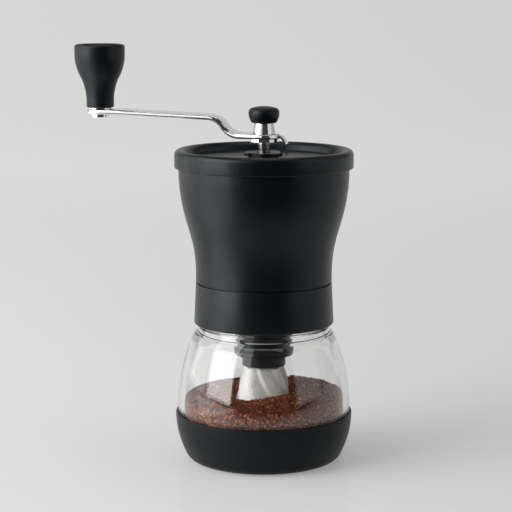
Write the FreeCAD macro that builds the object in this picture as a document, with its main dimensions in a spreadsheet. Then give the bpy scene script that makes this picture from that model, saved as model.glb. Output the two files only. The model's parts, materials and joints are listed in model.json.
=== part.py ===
import FreeCAD
import Part
import Sketcher
import math
import os
import re

# Hand crank coffee grinder: a glass jar in a soft boot under a bean hopper with a crank in its lid.
# Frame: +Z up, origin in the middle of the face that it stands on, crank arm along -X, millimetres.

SIZES = {
    # Clearances
    "seat_gap": 0.1,
    "running_gap": 0.05,
    "slide_gap": 0.08,
    "pass_gap": 0.35,
    "lift_gap": 0.2,
    "thread_room": 0.6,
    # Soft boot round the foot of the jar
    "boot_floor": 1.9,
    "boot_flat": 35.5,
    "boot_corner_radius": 41.4,
    "boot_corner_height": 4.5,
    "boot_corner_curve": 6.5,
    "boot_side_curve": 47.0,
    "boot_rim_wall": 1.1,
    "boot_height": 25.5,
    # Glass jar
    "jar_wall": 3.0,
    "jar_floor": 4.6,
    "jar_foot": 33.0,
    "jar_corner_radius": 40.0,
    "jar_corner_rise": 4.1,
    "jar_corner_curve": 8.0,
    "jar_flank_curve": 45.2,
    "jar_radius": 45.0,
    "jar_widest": 26.0,
    "jar_side_curve": 107.0,
    "shoulder_height": 62.5,
    "shoulder_curve": 24.0,
    "shoulder_top_radius": 35.0,
    "shoulder_rise": 6.5,
    "neck_fillet": 6.0,
    "neck_foot_rise": 3.5,
    "neck_radius": 33.4,
    "neck_wall": 3.0,
    "neck_height": 17.5,
    # Coffee grounds in the jar, with the pit that the burr stands in
    "grounds_top": 34.0,
    "pit_gap": 0.9,
    "pit_depth": 14.0,
    # Seal and collar
    "gasket_height": 1.5,
    "gasket_overhang": 0.5,
    "collar_skirt": 17.7,
    "collar_web": 3.1,
    "collar_wall": 2.45,
    "collar_edge": 1.5,
    "waist_wall": 1.4,
    # Bean hopper
    "hopper_wall": 2.5,
    "waist_height": 4.0,
    "waist_curve": 75.0,
    "flare_out": 3.09,
    "flare_rise": 25.3,
    "flank_in": 3.91,
    "flank_drop": 27.0,
    "hopper_curve": 95.0,
    "hopper_radius": 44.2,
    "rim_height": 7.5,
    "hopper_height": 65.9,
    "throat_inset": 0.6,
    "throat_rise": 4.0,
    "spigot_wall": 4.7,
    "core_wall": 2.1,
    "core_outer": 32.0,
    "core_inner_rise": 10.0,
    "core_outer_rise": 17.0,
    # Bridge that carries the upper bush, on three lugs of the hopper
    "lug_drop": 29.5,
    "lug_height": 4.0,
    "lug_width": 8.0,
    "lug_length": 8.8,
    "bridge_arm_count": 3,
    "bridge_thickness": 3.0,
    "bridge_width": 7.0,
    "bridge_end_gap": 2.0,
    "bridge_hub_wall": 3.05,
    "bridge_hub_height": 7.0,
    "bridge_screw_inset": 5.2,
    "bush_wall": 1.8,
    # Screws
    "screw_radius": 1.5,
    "screw_head_radius": 2.7,
    "screw_head_height": 1.9,
    "screw_slot_width": 0.8,
    "screw_slot_depth": 0.8,
    "carrier_screw_length": 10.0,
    "bridge_screw_length": 6.2,
    # Burr carrier: flange under the collar, tube, stepped ring
    "flange_lap": 5.1,
    "flange_thickness": 3.0,
    "carrier_screw_count": 3,
    "carrier_screw_gap": 3.6,
    "carrier_wall": 1.52,
    "ring_bore": 12.0,
    "ledge_drop": 15.5,
    "ledge_thickness": 1.5,
    "ledge_width": 2.0,
    "step_top_drop": 28.0,
    "step_bottom_drop": 34.2,
    "step_width": 1.7,
    "step_groove": 0.5,
    "step_groove_height": 0.8,
    "step_chamfer": 1.0,
    "carrier_drop": 35.7,
    "spider_drop": 11.5,
    "spoke_count": 3,
    "spider_height": 8.0,
    "spider_width": 2.4,
    "spider_hub_wall": 1.45,
    # Drive shaft and what holds it
    "shaft_radius": 3.1,
    "shaft_drop": 68.0,
    "shaft_end": 4.8,
    "flats_lead": 0.6,
    "flat_depth": 0.8,
    "shaft_chamfer": 0.5,
    "shaft_shoulder_width": 1.6,
    "shaft_shoulder_drop": 19.5,
    "shaft_shoulder_height": 6.0,
    "thrust_width": 2.9,
    "clip_width": 2.1,
    "clip_thickness": 1.0,
    "clip_groove": 0.4,
    "clip_opening": 3.6,
    # Grinding burrs and the ring that sets them
    "burr_top_wall": 1.7,
    "burr_neck_radius": 8.6,
    "burr_neck_drop": 33.9,
    "burr_skirt_drop": 42.8,
    "burr_skirt_radius": 10.9,
    "burr_foot_radius": 15.3,
    "burr_drop": 60.5,
    "flute_count": 8,
    "flute_depth": 2.2,
    "flute_half_width": 3.2,
    "flute_twist": -34.0,
    "flute_overrun": 2.0,
    "crusher_count": 3,
    "crusher_depth": 1.7,
    "crusher_half_width": 1.8,
    "crusher_twist": 50.0,
    "burr_washer_radius": 8.0,
    "burr_washer_thickness": 1.5,
    "nut_flats": 10.0,
    "nut_height": 4.5,
    "ring_burr_drop": 21.5,
    "ring_mouth_radius": 6.6,
    "ring_edge_radius": 9.3,
    "ring_tooth_count": 12,
    "ring_tooth_depth": 0.9,
    "ring_tooth_half_width": 1.1,
    "ring_tooth_twist": 24.0,
    "dial_drop": 41.8,
    "dial_inset": 0.65,
    "dial_bore": 9.5,
    "index_angle": 283.0,
    "index_width": 0.8,
    "index_depth": 0.4,
    "spring_wire": 1.0,
    "spring_inset": 1.2,
    "spring_turns": 3,
    # Lid
    "band_wall": 1.75,
    "band_drop": 6.9,
    "band_edge": 0.8,
    "band_round": 2.7,
    "band_rise": 2.5,
    "band_inset": 3.8,
    "band_inner_curve": 4.0,
    "band_inner_drop": 1.9,
    "recess_inset": 5.2,
    "recess_drop": 2.0,
    "lid_thickness": 2.0,
    "lid_bore": 7.0,
    # Notched boss in the lid
    "boss_radius": 10.4,
    "boss_rise": 3.0,
    "boss_flange": 1.5,
    "boss_edge": 0.5,
    "boss_neck": 8.2,
    "boss_clinch": 9.0,
    "boss_bore_gap": 0.9,
    "notch_count": 3,
    "notch_width": 7.0,
    "notch_angle": 253.0,
    # Crank hub
    "hub_rise": 5.5,
    "hub_washer_radius": 7.4,
    "hub_washer_thickness": 1.6,
    "cone_foot_radius": 5.85,
    "cone_top_radius": 4.95,
    "cone_height": 5.5,
    "cap_foot_radius": 6.3,
    "cap_radius": 8.0,
    "cap_widest_rise": 4.9,
    "cap_side_curve": 8.0,
    "cap_height": 8.5,
    "cap_edge_curve": 2.7,
    "cap_crown_radius": 6.6,
    "cap_crown": 1.0,
    "cap_bore_depth": 6.0,
    # Crank arm
    "arm_thickness": 2.6,
    "arm_hub_radius": 8.75,
    "arm_waist": 6.2,
    "arm_waist_place": 20.0,
    "arm_end_radius": 7.0,
    "bend_start": 12.0,
    "bend_run": 17.5,
    "bend_rise": 9.4,
    "arm_rise": 1.7,
    "arm_pad": 9.0,
    "crank_radius": 88.0,
    # Hook from the arm's tail to the lid's boss
    "hook_thickness": 1.2,
    "hook_width": 6.0,
    "hook_clearance": 0.5,
    "hook_bend_drop": 2.6,
    "hook_shoulder_curve": 4.6,
    "hook_foot_curve": 1.4,
    "hook_foot_gap": 0.55,
    # Crank knob
    "pin_radius": 3.0,
    "pin_head_radius": 4.6,
    "pin_head_height": 1.5,
    "knob_washer_radius": 6.2,
    "knob_washer_thickness": 0.7,
    "knob_height": 32.8,
    "knob_foot_radius": 6.6,
    "knob_foot_round": 0.7,
    "knob_grip_radius": 7.2,
    "knob_grip_rise": 3.0,
    "knob_flare_radius": 9.7,
    "knob_flare_rise": 15.0,
    "knob_grip_curve": 29.0,
    "knob_radius": 13.15,
    "knob_crown_rise": 27.5,
    "knob_crown_curve": 25.0,
    "knob_rim_round": 1.6,
    "knob_dish": 3.0,
    "knob_dish_curve": 16.0,
    "knob_seat_rise": 21.8,
    "knob_plug_radius": 5.2,
    "knob_plug_height": 5.0,
}

doc = FreeCAD.newDocument("coffee_grinder")
sheet = doc.addObject("Spreadsheet::Sheet", "Sheet")
for row, (alias, size) in enumerate(SIZES.items(), start=1):
    sheet.set(f"A{row}", alias)
    sheet.set(f"B{row}", str(size))
    sheet.setAlias(f"B{row}", alias)
doc.recompute()

PIECES = []
ALIAS = re.compile(r"\b(" + "|".join(sorted(SIZES, key=len, reverse=True)) + r")\b")

# Heights and radii that follow from the driving sizes
JAR_CORNER = "(boot_floor + jar_corner_rise)"
JAR_SHOULDER = "(jar_radius - jar_side_curve + sqrt(jar_side_curve ^ 2 - (shoulder_height - jar_widest) ^ 2))"
GROUNDS_RADIUS = ("(jar_radius - jar_side_curve + sqrt((jar_side_curve - jar_wall) ^ 2"
                  " - (grounds_top - jar_widest) ^ 2))")
PIT_FLOOR = "(grounds_top - pit_depth)"
PIT_RADIUS = "(burr_foot_radius + pit_gap)"
NECK_FOOT = "(shoulder_height + shoulder_rise + neck_foot_rise)"
NECK_TOP = f"({NECK_FOOT} + neck_height)"
NECK_BORE = "(neck_radius - neck_wall)"
GASKET_INNER = f"({NECK_BORE} - gasket_overhang)"
COLLAR_BORE = "(neck_radius + thread_room)"
COLLAR_FOOT = f"({COLLAR_BORE} + collar_wall)"
COLLAR_BOTTOM = f"({NECK_TOP} - collar_skirt)"
WAIST_RADIUS = f"({COLLAR_BORE} + waist_wall)"
FLANGE_TOP = f"({NECK_TOP} + gasket_height)"
HOPPER_BOTTOM = f"({FLANGE_TOP} + collar_web)"
HOPPER_TOP = f"({HOPPER_BOTTOM} + hopper_height)"
HOPPER_STRAIGHT = f"({HOPPER_TOP} - rim_height)"
FLARE_RADIUS = f"({WAIST_RADIUS} + flare_out)"
FLANK_RADIUS = "(hopper_radius - flank_in)"
LUG_TOP = f"({HOPPER_TOP} - lug_drop)"
LUG_REACH = ("(hopper_radius - hopper_curve - hopper_wall / 2"
             " + sqrt(hopper_curve ^ 2 - (lug_drop + lug_height - rim_height) ^ 2))")
LUG_INNER = f"({LUG_REACH} - lug_length)"
BRIDGE_REACH = f"({LUG_REACH} - bridge_end_gap)"
BRIDGE_SCREW_CIRCLE = f"({LUG_REACH} - bridge_screw_inset)"
BRIDGE_TOP = f"({LUG_TOP} + bridge_thickness)"
BRIDGE_HUB_TOP = f"({LUG_TOP} + bridge_hub_height)"
BUSH_RADIUS = "(shaft_radius + running_gap + bush_wall)"
BRIDGE_HUB = f"({BUSH_RADIUS} + bridge_hub_wall)"
RING_GUIDE = "(ring_bore + slide_gap)"
CARRIER_RADIUS = f"({RING_GUIDE} + carrier_wall)"
CARRIER_SCREW_CIRCLE = f"({CARRIER_RADIUS} + carrier_screw_gap)"
SPIGOT_RADIUS = f"({CARRIER_SCREW_CIRCLE} + spigot_wall)"
CORE_INNER = f"({SPIGOT_RADIUS} + core_wall)"
FLANGE_RADIUS = f"({SPIGOT_RADIUS} + flange_lap)"
CARRIER_BOTTOM = f"({FLANGE_TOP} - carrier_drop)"
STEP_RADIUS = f"({CARRIER_RADIUS} + step_width)"
STEP_TOP = f"({FLANGE_TOP} - step_top_drop)"
STEP_BOTTOM = f"({FLANGE_TOP} - step_bottom_drop)"
CARRIER_FOOT = f"({STEP_RADIUS} - step_chamfer)"
THROAT_RADIUS = "(ring_bore - throat_inset)"
LEDGE = f"({FLANGE_TOP} - ledge_drop)"
LEDGE_BORE = "(ring_bore - ledge_width)"
SPIDER_BOTTOM = f"({FLANGE_TOP} - spider_drop)"
SPIDER_TOP = f"({SPIDER_BOTTOM} + spider_height)"
SPIDER_HUB = f"({BUSH_RADIUS} + spider_hub_wall)"
SHAFT_BOTTOM = f"({FLANGE_TOP} - shaft_drop)"
SHAFT_SHOULDER = f"({FLANGE_TOP} - shaft_shoulder_drop)"
SHAFT_SHOULDER_TOP = f"({SHAFT_SHOULDER} + shaft_shoulder_height)"
SHAFT_SHOULDER_RADIUS = "(shaft_radius + shaft_shoulder_width)"
HALF_FLAT = "(shaft_radius - flat_depth)"
CLIP_BOTTOM = f"({BRIDGE_HUB_TOP} + lift_gap)"
CLIP_RADIUS = "(shaft_radius + clip_width)"
THRUST_RADIUS = "(shaft_radius + thrust_width)"
BURR_TOP_RADIUS = "(shaft_radius + burr_top_wall)"
BURR_NECK_TOP = f"({FLANGE_TOP} - burr_neck_drop)"
BURR_SKIRT_TOP = f"({FLANGE_TOP} - burr_skirt_drop)"
BURR_BOTTOM = f"({FLANGE_TOP} - burr_drop)"
RING_BURR_TOP = f"({FLANGE_TOP} - ring_burr_drop)"
SPRING_RADIUS = "(ring_bore - spring_inset)"
DIAL_BOTTOM = f"({FLANGE_TOP} - dial_drop)"
DIAL_RADIUS = "(ring_bore - dial_inset)"
BAND_TOP = f"({HOPPER_TOP} + band_rise)"
BAND_RADIUS = "(hopper_radius + pass_gap + band_wall)"
BAND_INNER = "(hopper_radius - band_inset)"
RECESS_RADIUS = "(hopper_radius - recess_inset)"
RECESS_FLOOR = f"({HOPPER_TOP} - recess_drop)"
LID_BOTTOM = f"({RECESS_FLOOR} - lid_thickness)"
BOSS_TOP = f"({RECESS_FLOOR} + boss_rise)"
BOSS_BORE = "(shaft_radius + boss_bore_gap)"
HUB_BOTTOM = f"({BOSS_TOP} + hub_rise)"
ARM_BOTTOM = f"({HUB_BOTTOM} + hub_washer_thickness)"
ARM_TOP = f"({ARM_BOTTOM} + arm_thickness)"
CONE_TOP = f"({ARM_TOP} + cone_height)"
SHAFT_TOP = f"({CONE_TOP} + shaft_end)"
FLATS_BOTTOM = f"({ARM_BOTTOM} - flats_lead)"
BEND_TOP = f"({ARM_BOTTOM} + bend_rise)"
ARM_END_BOTTOM = f"({BEND_TOP} + arm_rise)"
ARM_END_TOP = f"({ARM_END_BOTTOM} + arm_thickness)"
HOOK_INNER = "(boss_radius + hook_clearance)"
HOOK_FOOT = "(boss_neck + hook_foot_gap)"
HOOK_BEND = f"({ARM_BOTTOM} - hook_bend_drop)"
KNOB_BOTTOM = f"({ARM_END_TOP} + knob_washer_thickness + lift_gap)"
KNOB_SEAT = f"({KNOB_BOTTOM} + knob_seat_rise)"
KNOB_TOP = f"({KNOB_BOTTOM} + knob_height)"
DISH_FLOOR = f"({KNOB_TOP} - knob_dish)"


def value(text):
    """The number that an expression in the sheet's names gives now."""
    result = sheet.evalExpression(text)
    return float(getattr(result, "Value", result))


def bound(text):
    """The same expression as another object of the document reads it."""
    return ALIAS.sub(r"Sheet.\1", text)


def new_body(label):
    """An empty body that becomes one node."""
    body = doc.addObject("PartDesign::Body", label)
    body.Label = label
    PIECES.append(body)
    return body


def new_sketch(body, name, role, height="0", turn="0"):
    """A sketch on one of the body's origin planes, moved along its normal and turned about it."""
    sketch = body.newObject("Sketcher::SketchObject", name)
    plane = [feature for feature in body.Origin.OriginFeatures if feature.Role == role][0]
    sketch.AttachmentSupport = [(plane, "")]
    sketch.MapMode = "FlatFace"
    sketch.setExpression("AttachmentOffset.Base.z", bound(height))
    sketch.setExpression("AttachmentOffset.Rotation.Angle", bound(turn))
    return sketch


def fix_point(sketch, edge, end, across, up):
    """Ties an end of an edge to its two coordinates."""
    for kind, axis, text in (("DistanceX", -2, across), ("DistanceY", -1, up)):
        if text == "0":
            sketch.addConstraint(Sketcher.Constraint("PointOnObject", edge, end, axis))
        else:
            index = sketch.addConstraint(Sketcher.Constraint(kind, edge, end, value(text)))
            sketch.setExpression(f"Constraints[{index}]", bound(text))


def arc_between(start, end, radius):
    """The short arc from start to end; a positive radius turns left, a negative one right."""
    middle = (start + end) / 2
    half = (end - start).Length / 2
    along = (end - start).normalize()
    left = FreeCAD.Vector(-along.y, along.x, 0)
    reach = math.sqrt(radius ** 2 - half ** 2)
    center = middle + left * math.copysign(reach, radius)
    first, last = (start, end) if radius > 0 else (end, start)
    angles = [math.atan2(point.y - center.y, point.x - center.x) for point in (first, last)]
    circle = Part.Circle(center, FreeCAD.Vector(0, 0, 1), abs(radius))
    return Part.ArcOfCircle(circle, angles[0], angles[1])


def outline(sketch, vertices):
    """A closed outline; a vertex is (across, up) or (across, up, radius of the arc that leaves it)."""
    places = [FreeCAD.Vector(value(vertex[0]), value(vertex[1]), 0) for vertex in vertices]
    edges = []
    for index, vertex in enumerate(vertices):
        start = places[index]
        end = places[(index + 1) % len(places)]
        if len(vertex) == 2:
            edge = sketch.addGeometry(Part.LineSegment(start, end), False)
            edges.append((edge, 1, 2))
            continue
        radius = value(vertex[2])
        edge = sketch.addGeometry(arc_between(start, end, radius), False)
        size = sketch.addConstraint(Sketcher.Constraint("Radius", edge, abs(radius)))
        sketch.setExpression(f"Constraints[{size}]", bound(f"abs({vertex[2]})"))
        edges.append((edge, 1, 2) if radius > 0 else (edge, 2, 1))
    for (edge, _, tail), (following, head, _) in zip(edges, edges[1:] + edges[:1]):
        sketch.addConstraint(Sketcher.Constraint("Coincident", edge, tail, following, head))
    for (edge, head, _), vertex in zip(edges, vertices):
        fix_point(sketch, edge, head, vertex[0], vertex[1])


def circle(sketch, radius, across="0", up="0"):
    """A full circle."""
    center = FreeCAD.Vector(value(across), value(up), 0)
    edge = sketch.addGeometry(Part.Circle(center, FreeCAD.Vector(0, 0, 1), value(radius)), False)
    size = sketch.addConstraint(Sketcher.Constraint("Radius", edge, value(radius)))
    sketch.setExpression(f"Constraints[{size}]", bound(radius))
    fix_point(sketch, edge, 3, across, up)


def rectangle(sketch, left, right, half_width):
    """A rectangle on the sketch's X axis."""
    outline(sketch, [(left, f"-({half_width})"), (right, f"-({half_width})"), (right, half_width),
                     (left, half_width)])


def double_flat(sketch, radius, half_flat):
    """A round with two flats, as on the shaft's driving end."""
    corner = f"sqrt(({radius}) ^ 2 - ({half_flat}) ^ 2)"
    outline(sketch, [(f"-{corner}", f"-({half_flat})"), (corner, f"-({half_flat})", radius),
                     (corner, half_flat), (f"-{corner}", half_flat, radius)])


def turned(label, vertices):
    """A body turned about Z from its half section."""
    body = new_body(label)
    sketch = new_sketch(body, f"{label}_section", "XZ_Plane")
    outline(sketch, vertices)
    revolution = body.newObject("PartDesign::Revolution", f"{label}_turning")
    revolution.Profile = sketch
    revolution.ReferenceAxis = (sketch, ["V_Axis"])
    revolution.Angle = 360
    doc.recompute()
    return body


def pad(body, sketch, length, reverse=False, both_ways=False):
    """Material raised from a sketch."""
    feature = body.newObject("PartDesign::Pad", f"{sketch.Name}_pad")
    feature.Profile = sketch
    feature.setExpression("Length", bound(length))
    feature.Reversed = reverse
    feature.Midplane = both_ways
    doc.recompute()
    return feature


def pocket(body, sketch, length, reverse=False):
    """Material cut away below a sketch, or above it when reversed; it has to take something away."""
    before = body.Shape.Volume
    feature = body.newObject("PartDesign::Pocket", f"{sketch.Name}_pocket")
    feature.Profile = sketch
    feature.setExpression("Length", bound(length))
    feature.Reversed = reverse
    doc.recompute()
    if body.Shape.Volume >= before:
        raise RuntimeError(f"{feature.Name} cuts nothing")
    return feature


def repeated(body, feature, count):
    """Equal copies of a feature round Z."""
    pattern = body.newObject("PartDesign::PolarPattern", f"{feature.Name}_pattern")
    pattern.Originals = [feature]
    axis = [origin for origin in body.Origin.OriginFeatures if origin.Role == "Z_Axis"][0]
    pattern.Axis = (axis, [""])
    pattern.Angle = 360
    pattern.setExpression("Occurrences", bound(count))
    body.Tip = pattern
    doc.recompute()
    return pattern


def ring(label, inner, outer, bottom, top):
    """A plain washer, bush or sleeve."""
    return turned(label, [(inner, bottom), (outer, bottom), (outer, top), (inner, top)])


def on_knob_axis(body):
    """Moves a body from the shaft's axis to the knob's."""
    body.setExpression("Placement.Base.x", bound("-crank_radius"))


def make_base_boot():
    """Soft cup that hugs the jar's foot."""
    turned("base_boot", [
        ("0", "0"),
        ("boot_flat", "0", "boot_corner_curve"),
        ("boot_corner_radius", "boot_corner_height", "boot_side_curve"),
        ("jar_radius + seat_gap + boot_rim_wall", "boot_height"),
        ("jar_radius + seat_gap", "boot_height", "-(jar_flank_curve + seat_gap)"),
        ("jar_corner_radius + seat_gap", JAR_CORNER, "-(jar_corner_curve + seat_gap)"),
        ("jar_foot + seat_gap", "boot_floor"),
        ("0", "boot_floor"),
    ])


def make_glass_jar():
    """Thick-walled jar, widest above its foot, drawn in to a straight neck."""
    turned("glass_jar", [
        ("0", "boot_floor"),
        ("jar_foot", "boot_floor", "jar_corner_curve"),
        ("jar_corner_radius", JAR_CORNER, "jar_flank_curve"),
        ("jar_radius", "jar_widest", "jar_side_curve"),
        (JAR_SHOULDER, "shoulder_height", "shoulder_curve"),
        ("shoulder_top_radius", "shoulder_height + shoulder_rise", "-neck_fillet"),
        ("neck_radius", NECK_FOOT),
        ("neck_radius", NECK_TOP),
        (NECK_BORE, NECK_TOP),
        (NECK_BORE, NECK_FOOT, "shoulder_curve / 2"),
        (f"{JAR_SHOULDER} - jar_wall", "shoulder_height", "-(jar_side_curve - jar_wall)"),
        ("jar_radius - jar_wall", "jar_widest", "-(jar_flank_curve - jar_wall)"),
        ("jar_corner_radius - jar_wall", f"{JAR_CORNER} + jar_wall", "-jar_corner_curve"),
        ("jar_foot - jar_wall", "boot_floor + jar_floor"),
        ("0", "boot_floor + jar_floor"),
    ])


def make_coffee_grounds():
    """Heap of ground coffee, hollow where the burr stands."""
    turned("coffee_grounds", [
        ("0", "boot_floor + jar_floor + seat_gap"),
        ("jar_foot - jar_wall - seat_gap", "boot_floor + jar_floor + seat_gap", "jar_corner_curve"),
        ("jar_corner_radius - jar_wall - seat_gap", f"{JAR_CORNER} + jar_wall",
         "jar_flank_curve - jar_wall - seat_gap"),
        ("jar_radius - jar_wall - seat_gap", "jar_widest", "jar_side_curve - jar_wall - seat_gap"),
        (f"{GROUNDS_RADIUS} - seat_gap", "grounds_top"),
        (PIT_RADIUS, "grounds_top"),
        (PIT_RADIUS, PIT_FLOOR),
        ("0", PIT_FLOOR),
    ])


def make_collar():
    """Screw collar with its seal: a skirt round the jar's neck under a web that the carrier clamps."""
    ring("jar_gasket", GASKET_INNER, f"{COLLAR_BORE} - seat_gap", NECK_TOP, FLANGE_TOP)
    turned("collar_ring", [
        (COLLAR_BORE, COLLAR_BOTTOM),
        (f"{COLLAR_FOOT} - collar_edge", COLLAR_BOTTOM, "collar_edge"),
        (COLLAR_FOOT, f"{COLLAR_BOTTOM} + collar_edge"),
        (WAIST_RADIUS, HOPPER_BOTTOM),
        (f"{SPIGOT_RADIUS} + seat_gap", HOPPER_BOTTOM),
        (f"{SPIGOT_RADIUS} + seat_gap", FLANGE_TOP),
        (COLLAR_BORE, FLANGE_TOP),
    ])


def make_hopper_shell():
    """Waisted bean hopper with a funnel floor, a cored foot, three lugs and its screw holes."""
    body = turned("hopper_shell", [
        (THROAT_RADIUS, FLANGE_TOP),
        (SPIGOT_RADIUS, FLANGE_TOP),
        (SPIGOT_RADIUS, HOPPER_BOTTOM),
        (CORE_INNER, HOPPER_BOTTOM),
        (CORE_INNER, f"{HOPPER_BOTTOM} + core_inner_rise"),
        ("core_outer", f"{HOPPER_BOTTOM} + core_outer_rise"),
        ("core_outer", HOPPER_BOTTOM),
        (WAIST_RADIUS, HOPPER_BOTTOM),
        (WAIST_RADIUS, f"{HOPPER_BOTTOM} + waist_height", "-waist_curve"),
        (FLARE_RADIUS, f"{HOPPER_BOTTOM} + flare_rise"),
        (FLANK_RADIUS, f"{HOPPER_STRAIGHT} - flank_drop", "hopper_curve"),
        ("hopper_radius", HOPPER_STRAIGHT),
        ("hopper_radius", HOPPER_TOP),
        ("hopper_radius - hopper_wall", HOPPER_TOP),
        ("hopper_radius - hopper_wall", HOPPER_STRAIGHT, "-(hopper_curve - hopper_wall)"),
        (f"{FLANK_RADIUS} - hopper_wall", f"{HOPPER_STRAIGHT} - flank_drop"),
        (f"{FLARE_RADIUS} - hopper_wall", f"{HOPPER_BOTTOM} + flare_rise"),
        (THROAT_RADIUS, f"{HOPPER_BOTTOM} + throat_rise"),
    ])
    lug = new_sketch(body, "lug", "XY_Plane", LUG_TOP)
    rectangle(lug, LUG_INNER, LUG_REACH, "lug_width / 2")
    circle(lug, "screw_radius + seat_gap", BRIDGE_SCREW_CIRCLE)
    repeated(body, pad(body, lug, "lug_height", reverse=True), "bridge_arm_count")
    hole = new_sketch(body, "carrier_screw_hole", "XY_Plane", FLANGE_TOP)
    circle(hole, "screw_radius + seat_gap", CARRIER_SCREW_CIRCLE)
    thread = pocket(body, hole, "carrier_screw_length - flange_thickness + seat_gap", reverse=True)
    repeated(body, thread, "carrier_screw_count")


def make_bearing_bridge():
    """Three-armed bridge across the hopper with the upper bush in its hub."""
    body = ring("bearing_bridge", f"{BUSH_RADIUS} + seat_gap", BRIDGE_HUB, LUG_TOP, BRIDGE_HUB_TOP)
    arm = new_sketch(body, "bridge_arm", "XY_Plane", LUG_TOP)
    rectangle(arm, f"{BRIDGE_HUB} - bush_wall", BRIDGE_REACH, "bridge_width / 2")
    circle(arm, "screw_radius + seat_gap", BRIDGE_SCREW_CIRCLE)
    repeated(body, pad(body, arm, "bridge_thickness"), "bridge_arm_count")
    ring("upper_bush", "shaft_radius + running_gap", BUSH_RADIUS, LUG_TOP, BRIDGE_HUB_TOP)


def make_burr_carrier():
    """Carrier tube for the burrs: flange, stepped ring, spring ledge and a spider for the lower bush."""
    body = turned("burr_carrier", [
        (RING_GUIDE, CARRIER_BOTTOM),
        (CARRIER_FOOT, CARRIER_BOTTOM),
        (STEP_RADIUS, STEP_BOTTOM),
        (STEP_RADIUS, f"({STEP_BOTTOM} + {STEP_TOP} - step_groove_height) / 2"),
        (f"{STEP_RADIUS} - step_groove", f"({STEP_BOTTOM} + {STEP_TOP} - step_groove_height) / 2"),
        (f"{STEP_RADIUS} - step_groove", f"({STEP_BOTTOM} + {STEP_TOP} + step_groove_height) / 2"),
        (STEP_RADIUS, f"({STEP_BOTTOM} + {STEP_TOP} + step_groove_height) / 2"),
        (STEP_RADIUS, STEP_TOP),
        (CARRIER_RADIUS, STEP_TOP),
        (CARRIER_RADIUS, f"{FLANGE_TOP} - flange_thickness"),
        (FLANGE_RADIUS, f"{FLANGE_TOP} - flange_thickness"),
        (FLANGE_RADIUS, FLANGE_TOP),
        (THROAT_RADIUS, FLANGE_TOP),
        (THROAT_RADIUS, f"{LEDGE} + ledge_thickness"),
        (LEDGE_BORE, f"{LEDGE} + ledge_thickness"),
        (LEDGE_BORE, LEDGE),
        (RING_GUIDE, LEDGE),
    ])
    spoke = new_sketch(body, "spider_spoke", "XY_Plane", SPIDER_BOTTOM)
    rectangle(spoke, "0", f"({THROAT_RADIUS} + {CARRIER_RADIUS}) / 2", "spider_width / 2")
    repeated(body, pad(body, spoke, "spider_height"), "spoke_count")
    hub = new_sketch(body, "spider_hub", "XY_Plane", SPIDER_BOTTOM)
    circle(hub, SPIDER_HUB)
    pad(body, hub, "spider_height")
    bore = new_sketch(body, "spider_bore", "XY_Plane", SPIDER_TOP)
    circle(bore, f"{BUSH_RADIUS} + seat_gap")
    pocket(body, bore, "spider_height")
    hole = new_sketch(body, "flange_hole", "XY_Plane", FLANGE_TOP)
    circle(hole, "screw_radius + seat_gap", CARRIER_SCREW_CIRCLE)
    repeated(body, pocket(body, hole, "flange_thickness"), "carrier_screw_count")
    ring("lower_bush", "shaft_radius + running_gap", BUSH_RADIUS, SPIDER_BOTTOM, SPIDER_TOP)


def make_screws(label, count, circle_radius, seat, length, upright):
    """Slotted pan-head screws on a circle; an upright one has its head on top."""
    size = {name: value(text) for name, text in (
        ("place", circle_radius), ("seat", seat), ("length", length), ("radius", "screw_radius"),
        ("head", "screw_head_radius"), ("height", "screw_head_height"), ("slot", "screw_slot_width"),
        ("depth", "screw_slot_depth"))}
    down = FreeCAD.Vector(0, 0, -1 if upright else 1)
    screws = []
    for index in range(SIZES[count]):
        spot = FreeCAD.Vector(size["place"], 0, size["seat"])
        head = Part.makeCylinder(size["head"], size["height"], spot, -down)
        shank = Part.makeCylinder(size["radius"], size["length"], spot, down)
        slot = Part.makeBox(2 * size["head"], size["slot"], size["depth"])
        crown = spot - down * size["height"]
        slot.translate(FreeCAD.Vector(spot.x - size["head"], -size["slot"] / 2,
                                      min(crown.z, (crown + down * size["depth"]).z)))
        screw = head.fuse(shank).cut(slot).removeSplitter()
        screw.rotate(FreeCAD.Vector(), FreeCAD.Vector(0, 0, 1), index * 360 / SIZES[count])
        screws.append(screw)
    feature = doc.addObject("Part::Feature", label)
    feature.Label = label
    feature.Shape = Part.makeCompound(screws)
    feature.Placement = FreeCAD.Placement()
    PIECES.append(feature)


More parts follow.
